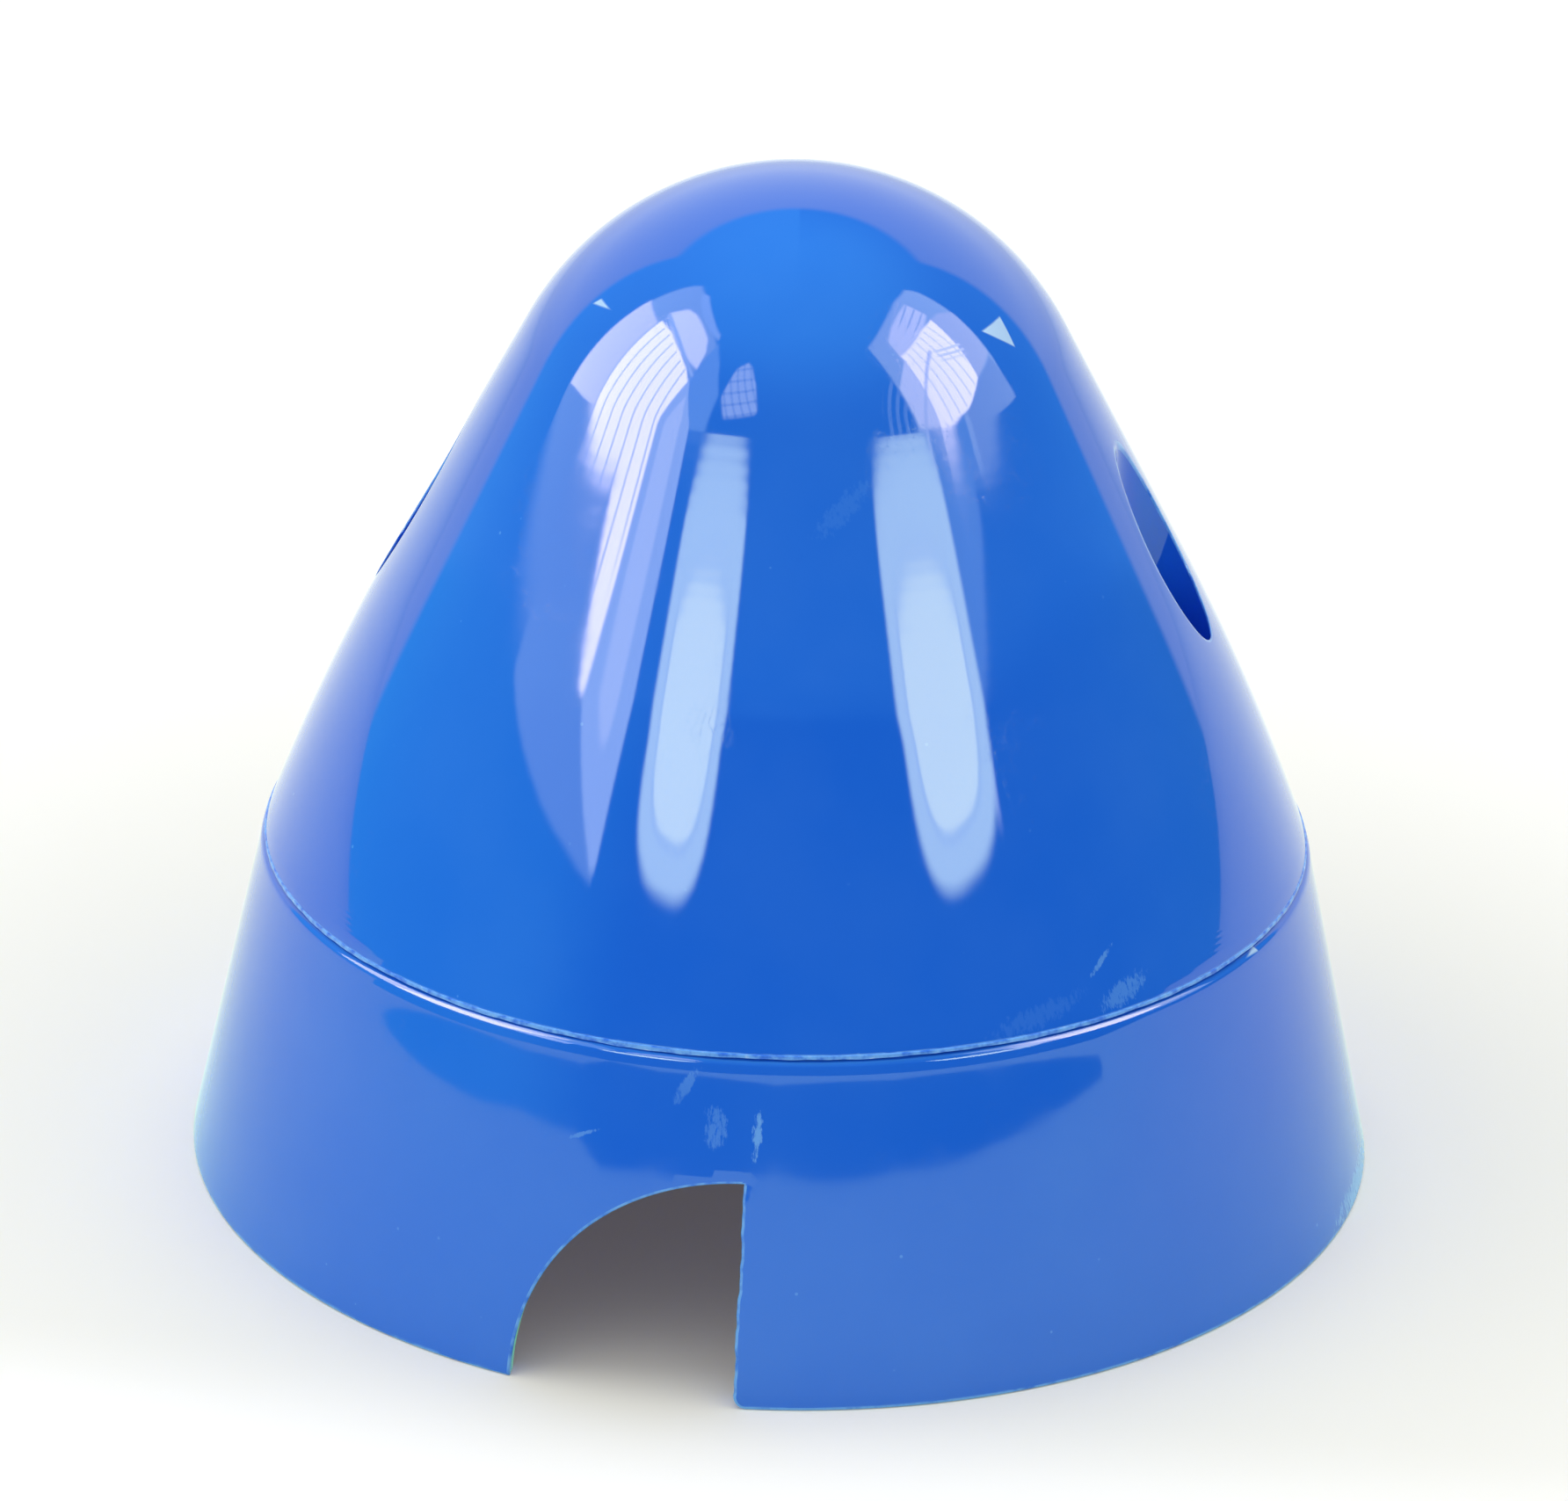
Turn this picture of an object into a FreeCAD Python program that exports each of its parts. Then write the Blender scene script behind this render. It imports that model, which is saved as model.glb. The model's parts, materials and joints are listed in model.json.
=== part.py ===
"""Two-blade propeller spinner for a model aircraft, moulded in two pieces.

The nose cone seats on a rear skirt that has a D-shaped cut-out for each blade.
Two screws go down wells in the cone's flanks, parallel to the shaft, into the skirt.
Millimetres, +Z towards the nose. The origin is the centre of the rear rim's plane.
The screws lie on the X axis, and each cut-out spans the Y axis, with its straight edge on one side.
"""
import FreeCAD, Part
import math
import os

# Outer form
rim_diameter = 57.0
skirt_height = 16.0
skirt_top_diameter = 50.0
skirt_edge_radius = 0.6
total_height = 49.1
cone_rim_diameter = 49.8
nose_radius = 14.4
flank_angle = 27.7
belly_start_height = 30.0

# Walls
cone_wall = 1.3
rim_wall = 1.0
skirt_top_wall = 1.5
web_thickness = 2.0

# Shaft hub in the web
shaft_diameter = 6.35
shaft_clearance = 0.05
hub_diameter = 20.0
hub_drop = 1.5
hub_rise = 0.5
hub_chamfer = 0.4
rib_count = 8
rib_thickness = 1.2

# Blade cut-outs
blade_count = 2
cutout_width = 10.5
cutout_height = 10.3
cutout_offset = 2.1

# Cone seat on the skirt
seam_gap = 0.12
register_height = 1.4
register_width = 1.2
register_clearance = 0.08

# Screws and their wells
screw_inset = 7.4
well_diameter = 4.8
well_wall = 1.0
well_floor = 2.5
well_rib_thickness = 1.2
screw_diameter = 2.5
screw_length = 10.0
screw_tip_chamfer = 0.4
head_diameter = 4.5
head_height = 1.8
head_edge_radius = 0.8
recess_width = 2.4
recess_blade = 0.6
recess_depth = 1.1
screw_hole_clearance = 0.2
thread_clearance = 0.02
boss_wall = 2.0
boss_end_margin = 0.5
boss_rib_thickness = 1.4

# How far a cutting or trimming tool runs past what it cuts
overrun = 5.0

origin = FreeCAD.Vector(0, 0, 0)
up = FreeCAD.Vector(0, 0, 1)

rim_radius = rim_diameter / 2
skirt_top_radius = skirt_top_diameter / 2
cone_rim_radius = cone_rim_diameter / 2
web_bottom = skirt_height - web_thickness
hub_bottom = web_bottom - hub_drop
hub_top = skirt_height + hub_rise
screw_spacing = cone_rim_diameter - 2 * screw_inset
screw_radius = screw_diameter / 2
shaft_hole_radius = shaft_diameter / 2 + shaft_clearance
screw_hole_radius = screw_radius + screw_hole_clearance
thread_hole_radius = screw_radius + thread_clearance
well_radius = well_diameter / 2
well_outer_radius = well_radius + well_wall
boss_radius = thread_hole_radius + boss_wall
head_seat = skirt_height + well_floor
screw_tip = head_seat - screw_length
boss_bottom = screw_tip - boss_end_margin
cone_bottom = skirt_height + seam_gap
register_top = skirt_height + register_height


def point(radius, height):
    """A point of a revolved outline, in the XZ plane."""
    return FreeCAD.Vector(radius, 0, height)


def line(start, end):
    return Part.LineSegment(start, end).toShape()


def arc(start, middle, end):
    return Part.Arc(start, middle, end).toShape()


def revolve(edges):
    """Turn a closed outline in the XZ plane once round the shaft's axis."""
    return Part.Face(Part.Wire(edges)).revolve(origin, up, 360)


def cylinder(radius, bottom, top, x=0.0):
    return Part.makeCylinder(radius, top - bottom, FreeCAD.Vector(x, 0, bottom))


def radial_rib(thickness, inner, outer, bottom, top, angle):
    """An upright rib along a radius, from the inner to the outer radius."""
    rib = Part.makeBox(outer - inner, thickness, top - bottom, FreeCAD.Vector(inner, -thickness / 2, bottom))
    rib.rotate(origin, up, angle)
    return rib


class ConeOutline:
    """The cone's half section: a round nose, a straight flank and a belly arc.

    The flank is tangent to both arcs, so a shell's inner face has the same two
    centres and smaller radii.
    """

    def __init__(self):
        slope = math.radians(flank_angle)
        self.normal = point(math.cos(slope), math.sin(slope))
        along = point(math.sin(slope), -math.cos(slope))
        self.nose_centre = point(0, total_height - nose_radius)
        self.flank_top = self.nose_centre + self.normal * nose_radius
        run = (self.flank_top.z - belly_start_height) / math.cos(slope)
        self.flank_end = self.flank_top + along * run
        chord = point(cone_rim_radius, cone_bottom) - self.flank_end
        inward = self.normal * -1
        self.belly_radius = chord.dot(chord) / (2 * chord.dot(inward))
        self.belly_centre = self.flank_end + inward * self.belly_radius

    def radius_at(self, height, inset=0.0):
        """Radius of the belly arc at a height, at a depth under the outer face.

        The belly bulges, or is hollow where the rim is wider than the flank points to.
        """
        reach = self.belly_radius - inset
        rise = height - self.belly_centre.z
        return self.belly_centre.x + math.copysign(math.sqrt(reach * reach - rise * rise), reach)

    def edges(self, inset, bottom):
        """The outline from the axis at the nose down to the height of the rim."""
        nose_reach = nose_radius - inset
        tip = self.nose_centre + point(0, nose_reach)
        half = math.radians(45 + flank_angle / 2)
        nose_middle = self.nose_centre + point(math.cos(half), math.sin(half)) * nose_reach
        flank_top = self.flank_top - self.normal * inset
        flank_end = self.flank_end - self.normal * inset
        foot = point(self.radius_at(bottom, inset), bottom)
        belly_height = (flank_end.z + bottom) / 2
        belly_middle = point(self.radius_at(belly_height, inset), belly_height)
        return [
            arc(tip, nose_middle, flank_top),
            line(flank_top, flank_end),
            arc(flank_end, belly_middle, foot),
        ]

    def solid(self, inset, bottom):
        """The whole volume inside the outline, down to the height of the rim."""
        foot = point(self.radius_at(bottom, inset), bottom)
        centre = point(0, bottom)
        tip = self.nose_centre + point(0, nose_radius - inset)
        closing = [line(foot, centre), line(centre, tip)]
        return revolve(self.edges(inset, bottom) + closing)


outline = ConeOutline()


def screw_places():
    """X position and turn about the shaft of each screw."""
    return [(screw_spacing / 2, 0), (-screw_spacing / 2, 180)]


def make_well_body(x, angle):
    """The tube that holds one screw's well, and its rib to the cone's wall."""
    tube = cylinder(well_outer_radius, skirt_height, total_height, x)
    rib_bottom = register_top + register_clearance
    rib = radial_rib(well_rib_thickness, abs(x), cone_rim_radius, rib_bottom, belly_start_height, angle)
    return tube.fuse(rib)


def make_nose_cone():
    """A shell with two round screw wells that open on its flanks."""
    outer = outline.solid(0.0, cone_bottom)
    inner = outline.solid(cone_wall, cone_bottom)
    room = outer.fuse(cylinder(screw_spacing / 2 + well_outer_radius, skirt_height, cone_bottom))
    shell = outer.cut(inner)
    for x, angle in screw_places():
        shell = shell.fuse(make_well_body(x, angle).common(room))
    for x, angle in screw_places():
        well = cylinder(well_radius, head_seat, total_height + overrun, x)
        hole = cylinder(screw_hole_radius, skirt_height - overrun, head_seat, x)
        shell = shell.cut(well.fuse(hole))
    return shell.removeSplitter()


def skirt_radius(height):
    """Outer radius of the skirt's cone at a height."""
    return rim_radius + (skirt_top_radius - rim_radius) * height / skirt_height


def skirt_inner_radius(height):
    """Inner radius of the skirt's wall, which thickens towards the web."""
    wall = rim_wall + (skirt_top_wall - rim_wall) * height / web_bottom
    return skirt_radius(height) - wall


def make_skirt_shell():
    """Conical wall, with the web across its front end, a hub and a register ring."""
    register_outer = outline.radius_at(register_top, cone_wall) - register_clearance
    register_inner = register_outer - register_width
    slope = math.atan2(rim_radius - skirt_top_radius, skirt_height)
    edge_height = skirt_height - skirt_edge_radius
    edge_centre = point(skirt_radius(edge_height) - skirt_edge_radius / math.cos(slope), edge_height)
    edge_start, edge_middle, edge_end = [
        edge_centre + point(math.cos(turn), math.sin(turn)) * skirt_edge_radius
        for turn in (slope, slope / 2 + math.pi / 4, math.pi / 2)
    ]
    rim = [point(rim_radius, 0), point(rim_radius - rim_wall, 0)]
    web = [point(skirt_inner_radius(web_bottom), web_bottom), point(hub_diameter / 2, web_bottom)]
    hub = [
        point(hub_diameter / 2, hub_bottom),
        point(shaft_hole_radius + hub_chamfer, hub_bottom),
        point(shaft_hole_radius, hub_bottom + hub_chamfer),
        point(shaft_hole_radius, hub_top - hub_chamfer),
        point(shaft_hole_radius + hub_chamfer, hub_top),
        point(hub_diameter / 2, hub_top),
        point(hub_diameter / 2, skirt_height),
    ]
    register = [
        point(register_inner, skirt_height),
        point(register_inner, register_top),
        point(register_outer, register_top),
        point(register_outer, skirt_height),
    ]
    path = [edge_start] + rim + web + hub + register + [edge_end]
    edges = [line(start, end) for start, end in zip(path, path[1:])]
    edges.append(arc(edge_end, edge_middle, edge_start))
    return revolve(edges)


def make_cutout(angle):
    """Cutting tool for one blade: straight on one side of the shaft, round on the other."""
    centre = point(cutout_offset, cutout_height - cutout_width)
    diagonal = cutout_width * math.sqrt(0.5)
    start = point(cutout_offset, -overrun)
    top = centre + point(0, cutout_width)
    middle = centre + point(-diagonal, diagonal)
    foot = centre + point(-cutout_width, 0)
    end = point(foot.x, -overrun)
    edges = [line(start, top), arc(top, middle, foot), line(foot, end), line(end, start)]
    tool = Part.Face(Part.Wire(edges)).extrude(FreeCAD.Vector(0, -rim_radius - overrun, 0))
    tool.rotate(origin, up, angle)
    return tool


def make_rear_skirt():
    """The skirt with its ribs, the two screw bosses under the web and the blade cut-outs."""
    skirt = make_skirt_shell()
    envelope = Part.makeCone(rim_radius, skirt_radius(web_bottom), web_bottom)
    for index in range(rib_count):
        angle = 360 / rib_count * index
        inner = shaft_hole_radius + (hub_diameter / 2 - shaft_hole_radius) / 2
        rib = radial_rib(rib_thickness, inner, rim_radius, hub_bottom, web_bottom, angle)
        skirt = skirt.fuse(rib.common(envelope))
    for x, angle in screw_places():
        boss = cylinder(boss_radius, boss_bottom, web_bottom, x)
        rib_bottom = boss_bottom + boss_wall
        rib = radial_rib(boss_rib_thickness, abs(x), rim_radius, rib_bottom, web_bottom, angle)
        hole = cylinder(thread_hole_radius, boss_bottom - overrun, skirt_height + overrun, x)
        skirt = skirt.fuse(boss).fuse(rib.common(envelope)).cut(hole)
    for index in range(blade_count):
        skirt = skirt.cut(make_cutout(360 / blade_count * index))
    return skirt.removeSplitter()


def make_recess():
    """Cross recess of one screw, tapered to its floor, with its mouth on the XY plane."""
    recess = None
    for angle in (0, 90):
        half = recess_width / 2
        floor = half - recess_depth / 2
        corners = [point(-half, 0), point(half, 0), point(floor, -recess_depth), point(-floor, -recess_depth)]
        face = Part.Face(Part.makePolygon(corners + corners[:1]))
        blade = face.extrude(FreeCAD.Vector(0, recess_blade, 0))
        blade.translate(FreeCAD.Vector(0, -recess_blade / 2, 0))
        blade.rotate(origin, up, angle)
        recess = blade if recess is None else recess.fuse(blade)
    return recess


def make_screw(x):
    """A pan-head screw that stands on the floor of its well."""
    head_radius = head_diameter / 2
    head_top = head_seat + head_height
    diagonal = head_edge_radius * math.sqrt(0.5)
    edge_centre = point(head_radius - head_edge_radius, head_top - head_edge_radius)
    start = point(0, screw_tip)
    path = [
        start,
        point(screw_radius - screw_tip_chamfer, screw_tip),
        point(screw_radius, screw_tip + screw_tip_chamfer),
        point(screw_radius, head_seat),
        point(head_radius, head_seat),
        point(head_radius, edge_centre.z),
    ]
    edge_top = point(edge_centre.x, head_top)
    edges = [line(first, second) for first, second in zip(path, path[1:])]
    edges.append(arc(path[-1], edge_centre + point(diagonal, diagonal), edge_top))
    edges.append(line(edge_top, point(0, head_top)))
    edges.append(line(point(0, head_top), start))
    screw = revolve(edges)
    recess = make_recess()
    recess.translate(FreeCAD.Vector(0, 0, head_top))
    screw = screw.cut(recess)
    screw.translate(FreeCAD.Vector(x, 0, 0))
    return screw


def write_node(name, shape):
    if shape.ShapeType != "Solid":
        shape = shape.Solids[0]
    print(name, "valid", shape.isValid(), "volume", round(shape.Volume, 2), "mm3")
    shape.exportStep(os.path.join("parts", name + ".step"))


os.makedirs("parts", exist_ok=True)
write_node("nose_cone", make_nose_cone())
write_node("rear_skirt", make_rear_skirt())
for side, place in zip(("right", "left"), screw_places()):
    write_node("cone_screw_" + side, make_screw(place[0]))
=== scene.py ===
"""Looks of a two-piece moulded propeller spinner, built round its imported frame.

The nose cone and the rear skirt are rebuilt as fine meshes on the same outlines, with
soft mould edges, flash and marks. The screws keep their solids and get a plated finish.
Metres, +Z towards the nose. The origin is the centre of the rear rim's plane.
"""
import json
import math

import bmesh
import bpy
import numpy as np
from bpy.props import FloatProperty, FloatVectorProperty, IntProperty, PointerProperty
from mathutils import Matrix, Vector
from mathutils.geometry import delaunay_2d_cdt
from mathutils.kdtree import KDTree


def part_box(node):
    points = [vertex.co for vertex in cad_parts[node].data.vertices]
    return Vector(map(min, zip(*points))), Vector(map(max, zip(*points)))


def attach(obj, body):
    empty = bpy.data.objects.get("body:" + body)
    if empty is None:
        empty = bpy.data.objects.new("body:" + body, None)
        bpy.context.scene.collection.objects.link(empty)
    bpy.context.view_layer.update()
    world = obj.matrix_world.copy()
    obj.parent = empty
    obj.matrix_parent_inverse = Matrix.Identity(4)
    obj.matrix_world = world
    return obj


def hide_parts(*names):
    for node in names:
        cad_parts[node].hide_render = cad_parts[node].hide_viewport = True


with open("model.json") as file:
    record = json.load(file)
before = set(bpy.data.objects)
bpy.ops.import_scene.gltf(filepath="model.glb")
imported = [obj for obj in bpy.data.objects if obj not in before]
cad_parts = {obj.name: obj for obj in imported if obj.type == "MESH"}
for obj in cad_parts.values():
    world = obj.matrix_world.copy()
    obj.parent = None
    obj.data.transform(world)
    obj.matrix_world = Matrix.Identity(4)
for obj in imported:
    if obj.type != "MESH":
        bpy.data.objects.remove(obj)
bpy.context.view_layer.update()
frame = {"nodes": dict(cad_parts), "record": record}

bl_info = {
    "name": "Propeller spinner",
    "version": (1, 0, 0),
    "blender": (4, 5, 0),
    "location": "View3D > Sidebar > Spinner",
    "description": "Builds a moulded two-blade propeller spinner and its studio",
    "category": "Object",
}

MM = 0.001
BODY = "root"
PLASTIC_SLOT = "blue_plastic"
SCREWS = ("cone_screw_right", "cone_screw_left")

cone_low, cone_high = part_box("nose_cone")
skirt_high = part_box("rear_skirt")[1]
screw_low, screw_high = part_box("cone_screw_right")
bore = next(mount for mount in frame["record"]["mounts"] if mount["name"] == "shaft_bore")

rim_radius = skirt_high.x
cone_rim_radius = cone_high.x
skirt_height = cone_low.z
nose_top = cone_high.z
screw_reach = (screw_low.x + screw_high.x) / 2
bore_radius = bore["dims"]["r_mm"] * MM


def length(name, description, millimetres):
    """A size in the panel, in metres."""
    return FloatProperty(
        name=name, description=description, default=millimetres * MM, unit="LENGTH", subtype="DISTANCE",
        precision=5,
    )


def angle(name, description, degrees):
    """An angle in the panel, in radians."""
    return FloatProperty(name=name, description=description, default=math.radians(degrees), subtype="ANGLE")


def level(name, description, default, high=1.0):
    """A plain number in the panel, such as a roughness or a brightness."""
    return FloatProperty(name=name, description=description, default=default, min=0.0, max=high)


def colour(name, description, default):
    """A linear colour in the panel."""
    return FloatVectorProperty(
        name=name, description=description, default=default, size=3, subtype="COLOR", min=0.0, max=100.0
    )


class SpinnerSizes(bpy.types.PropertyGroup):
    """Sizes of the two mouldings that the frame's boxes don't give."""

    nose_radius: length("Nose radius", "Radius of the cone's round nose", 14.4)
    flank_angle: angle("Flank angle", "Lean of the straight flank from the shaft", 27.7)
    belly_start: length("Belly start", "Height where the flank turns into the belly arc", 30.0)
    cone_wall: length("Cone wall", "Wall thickness of the nose cone", 1.3)
    seam_gap: length("Seam gap", "Gap between the cone's rim and the skirt", 0.12)
    skirt_top_radius: length("Skirt top radius", "Where the skirt's cone meets its front plane", 25.0)
    skirt_edge_radius: length("Skirt edge", "Rounding of the skirt's front edge", 0.5)
    rim_wall: length("Rim wall", "Wall thickness at the rear rim", 1.0)
    skirt_top_wall: length("Skirt top wall", "Wall thickness where the skirt meets its web", 1.5)
    web_thickness: length("Web", "Thickness of the web across the skirt", 2.0)
    hub_radius: length("Hub radius", "Radius of the hub round the shaft", 10.0)
    hub_drop: length("Hub drop", "How far the hub stands behind the web", 1.5)
    hub_rise: length("Hub rise", "How far the hub stands in front of the web", 0.5)
    hub_chamfer: length("Hub chamfer", "Chamfer of the shaft hole", 0.4)
    rib_thickness: length("Rib", "Thickness of the ribs under the web", 1.2)
    rib_count: IntProperty(name="Ribs", description="Number of ribs under the web", default=8)
    register_height: length("Register height", "Height of the ring that centres the cone", 1.4)
    register_width: length("Register width", "Width of the ring that centres the cone", 1.2)
    register_clearance: length("Register clearance", "Room between the ring and the cone", 0.08)
    cutout_width: length("Cut-out width", "Width of a blade cut-out", 10.5)
    cutout_height: length("Cut-out height", "Height of a blade cut-out", 10.3)
    cutout_offset: length("Cut-out offset", "From the shaft's plane to the straight edge", 2.1)
    cutout_corner: length("Cut-out corner", "Rounding at the foot of the straight edge", 0.6)
    well_radius: length("Well radius", "Radius of a screw well", 2.4)
    well_wall: length("Well wall", "Wall round a screw well", 1.0)
    well_floor: length("Well floor", "Thickness under a screw's head", 2.5)
    screw_hole_radius: length("Screw hole", "Radius of the hole in a well's floor", 1.45)
    thread_radius: length("Thread hole", "Radius of the hole in a boss", 1.27)
    boss_radius: length("Boss radius", "Radius of a screw boss", 3.27)
    boss_height: length("Boss bottom", "Height of a boss's open end over the rear rim", 8.0)
    flare_height: length("Flare height", "Where the skirt starts to flare under its front edge", 13.6)
    flare: level("Flare", "How fast the wall flares there", 0.0027)
    mould_edge: length("Mould edge", "Rounding that the mould leaves on sharp edges", 0.15)
    well_lip: length("Well lip", "Rounding of the mouths of the screw wells", 0.24)
    mesh_step: length("Mesh step", "Spacing of the points on the outer faces", 0.42)


class SpinnerFinish(bpy.types.PropertyGroup):
    """Colours and gloss of the plastic and the screws."""

    plastic: colour("Plastic", "Body colour of the moulded plastic", (0.0105, 0.134, 0.72))
    # This pale colour serves real scuffs and tone clouds. It is also painted as highlights on the rounded
    # edges, the cone's rim and the skirt's foot, and as light through the thin flash
    pale_plastic_and_highlight: colour("Pale plastic", "Thin flash, scuffed and stressed plastic", (0.13, 0.38, 0.86))
    # Used for the real bare chips on the plastic, and as painted glints on the flash
    chip_and_glint: colour("Chip", "Bare chipped plastic", (0.42, 0.62, 0.88))
    gloss: level("Plastic roughness", "Roughness of the polished faces", 0.035)
    flash_roughness: level("Flash roughness", "Roughness of the torn flash", 0.32)
    plating: colour("Plating", "Colour of the screws' zinc plating", (0.60, 0.61, 0.63))
    plating_dull: colour("Dull plating", "Colour of the plating where it is dull", (0.45, 0.46, 0.47))
    plating_roughness: level("Plating roughness", "Roughness of the plating", 0.24)


class SpinnerStudio(bpy.types.PropertyGroup):
    """The floor, the room that the gloss mirrors, and the camera."""

    camera_distance: length("Camera distance", "From the camera to its target", 370.0)
    camera_height: angle("Camera elevation", "Height of the camera over the floor, as an angle", 24.24)
    camera_turn: angle("Camera turn", "Turn of the camera from the -Y side towards +X", 8.0)
    camera_roll: angle("Camera roll", "Roll of the camera", 1.27)
    target_height: length("Target height", "Height of the camera's target on the shaft's axis", 20.06)
    target_side: length("Target side", "How far right of the axis the target lies", -0.18)
    lens: FloatProperty(name="Lens", description="Focal length over a 36 mm sensor, in mm", default=178.14)
    floor_reach: length("Floor reach", "How far the floor reaches behind the part", 1500.0)
    # Painted shade: the floor by the part is darker, and bluer as painted light bounced off the blue
    # plastic
    floor_near_shade: colour("Floor by the part", "Colour of the floor by the part", (0.875, 0.868, 0.765))
    floor_far: colour("Floor further off", "Colour of the floor further off", (0.985, 0.98, 0.935))
    # Painted light: the floor glows under, beside and ahead of the part, though it is no lamp
    painted_glow_under: colour("Floor under the part", "Glow of the floor under the part", (0.075, 0.058, 0.036))
    painted_glow_beside: colour("Floor beside the part", "Glow of the floor beside the part", (0.02, 0.024, 0.03))
    painted_glow_ahead: colour("Floor ahead", "Glow of the floor in front of the part", (0.16, 0.165, 0.215))
    # Painted reflection: glow of the floor that only the gloss sees, which tints what the skirt mirrors
    painted_reflection_behind: colour("Mirrored behind", "Glow in the gloss of the floor behind", (0.15, 0.21, 0.08))
    painted_reflection_ahead: colour("Mirrored ahead", "Glow in the gloss of the floor in front", (0.12, 0.72, 0.26))
    fill: level("Fill", "Brightness of the even light from all sides", 0.47, 10.0)
    window_left: level("Left daylight", "Brightness of the daylight from the left", 0.9, 10.0)
    window_right: level("Right daylight", "Brightness of the daylight from the right", 0.4, 10.0)
    key: level("Key", "Power of the soft overhead lamp, in watts", 4.6, 100.0)
    surround: level("Surround", "Brightness of the white surround in the gloss", 1.2, 10.0)


def sizes():
    return bpy.context.scene.spinner_sizes


def finish():
    return bpy.context.scene.spinner_finish


def studio():
    return bpy.context.scene.spinner_studio


# Shader expressions


class Value:
    """A shader socket that takes part in Python expressions through Math nodes."""

    def __init__(self, shader, socket):
        self.shader = shader
        self.socket = socket

    def math(self, operation, *others):
        inputs = dict(enumerate((self,) + others))
        return self.shader.add("ShaderNodeMath", {"operation": operation}, inputs)

    def __add__(self, other):
        return self.math("ADD", other)

    def __sub__(self, other):
        return self.math("SUBTRACT", other)

    def __rsub__(self, other):
        return self * -1.0 + other

    def __mul__(self, other):
        return self.math("MULTIPLY", other)

    def __truediv__(self, other):
        return self.math("DIVIDE", other)

    def __pow__(self, other):
        return self.math("POWER", other)

    def __neg__(self):
        return self * -1.0

    def __abs__(self):
        return self.math("ABSOLUTE")

    def __gt__(self, other):
        return self.math("GREATER_THAN", other)


class Shader:
    """Builds one node tree."""

    def __init__(self, owner):
        owner.use_nodes = True
        self.tree = owner.node_tree
        self.tree.nodes.clear()

    def add(self, kind, settings=None, inputs=None, output=0):
        """One node: its settings first, then values or links on its sockets."""
        node = self.tree.nodes.new(kind)
        for name, setting in (settings or {}).items():
            setattr(node, name, setting)
        for name, value in (inputs or {}).items():
            if isinstance(value, Value):
                self.tree.links.new(value.socket, node.inputs[name])
            else:
                node.inputs[name].default_value = value
        if not node.outputs:
            return None
        return Value(self, node.outputs[output])

    def vector(self, operation, first, second=None, output=0):
        inputs = {0: first} if second is None else {0: first, 1: second}
        return self.add("ShaderNodeVectorMath", {"operation": operation}, inputs, output)

    def place(self):
        """Position on the piece, in millimetres."""
        metres = self.add("ShaderNodeTexCoord", None, None, "Object")
        return self.add("ShaderNodeVectorMath", {"operation": "SCALE"}, {0: metres, "Scale": 1 / MM})

    def ray(self, kind):
        """1 for rays of a kind, 0 for all others."""
        return self.add("ShaderNodeLightPath", None, None, f"Is {kind} Ray")

    def part(self, vector, axis):
        return self.add("ShaderNodeSeparateXYZ", None, {0: vector}, axis)

    def mix(self, factor, first, second):
        """Colour that goes from the first to the second as the factor goes from 0 to 1."""
        inputs = {0: factor, 6: opaque(first), 7: opaque(second)}
        return self.add("ShaderNodeMix", {"data_type": "RGBA"}, inputs, 2)

    def step(self, value, low, high):
        """A smooth step from 0 to 1 as the value goes from low to high."""
        inputs = {"Value": value, "From Min": low, "From Max": high}
        return self.add("ShaderNodeMapRange", {"interpolation_type": "SMOOTHSTEP"}, inputs)

    def band(self, value, low, high, soft):
        """1 between low and high, with soft borders."""
        rise = self.step(value, low - soft, low + soft)
        return rise * (1 - self.step(value, high - soft, high + soft))

    def convex(self, across, up, corners, soft):
        """1 inside a convex polygon, its corners given anticlockwise, with soft borders."""
        mask = 1.0
        for (x0, y0), (x1, y1) in zip(corners, corners[1:] + corners[:1]):
            run = math.hypot(x1 - x0, y1 - y0)
            lean, rise = (y0 - y1) / run, (x1 - x0) / run
            start = lean * x0 + rise * y0
            mask = self.step(across * lean + up * rise, start - soft, start + soft) * mask
        return mask

    def noise(self, vector, scale, detail=2.0, roughness=0.5):
        inputs = {"Vector": vector, "Scale": scale, "Detail": detail, "Roughness": roughness}
        return self.add("ShaderNodeTexNoise", None, inputs)

    def patches(self, vector, scale, low, high, detail=3.0, roughness=0.5):
        """Soft patches: 0 where a noise is under low, 1 where it is over high."""
        return self.step(self.noise(vector, scale, detail, roughness), low, high)

    def coat(self, tone, roughness, relief, metallic=0.0):
        """Close the tree with a surface finish whose relief is in millimetres."""
        bump = self.add("ShaderNodeBump", None, {"Strength": 1.0, "Distance": MM, "Height": relief})
        self.surface(self.add("ShaderNodeBsdfPrincipled", None, {
            "Base Color": tone, "Roughness": roughness, "Metallic": metallic, "IOR": 1.5, "Normal": bump,
        }))

    def surface(self, finished):
        self.add("ShaderNodeOutputMaterial", None, {"Surface": finished})


def opaque(tone):
    """A colour with its alpha, or a link as it is."""
    return tone if isinstance(tone, Value) else (*tone, 1.0)


# Meshes


RIM_POINTS = 720
WELL_POINTS = 96
FOOT_POINTS = 260
EDGE_POINTS = 80
# Rows of a staggered sheet of points lie this share of their spacing apart
ROW_SHARE = 0.87
SAME_POINT = 1e-9


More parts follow.
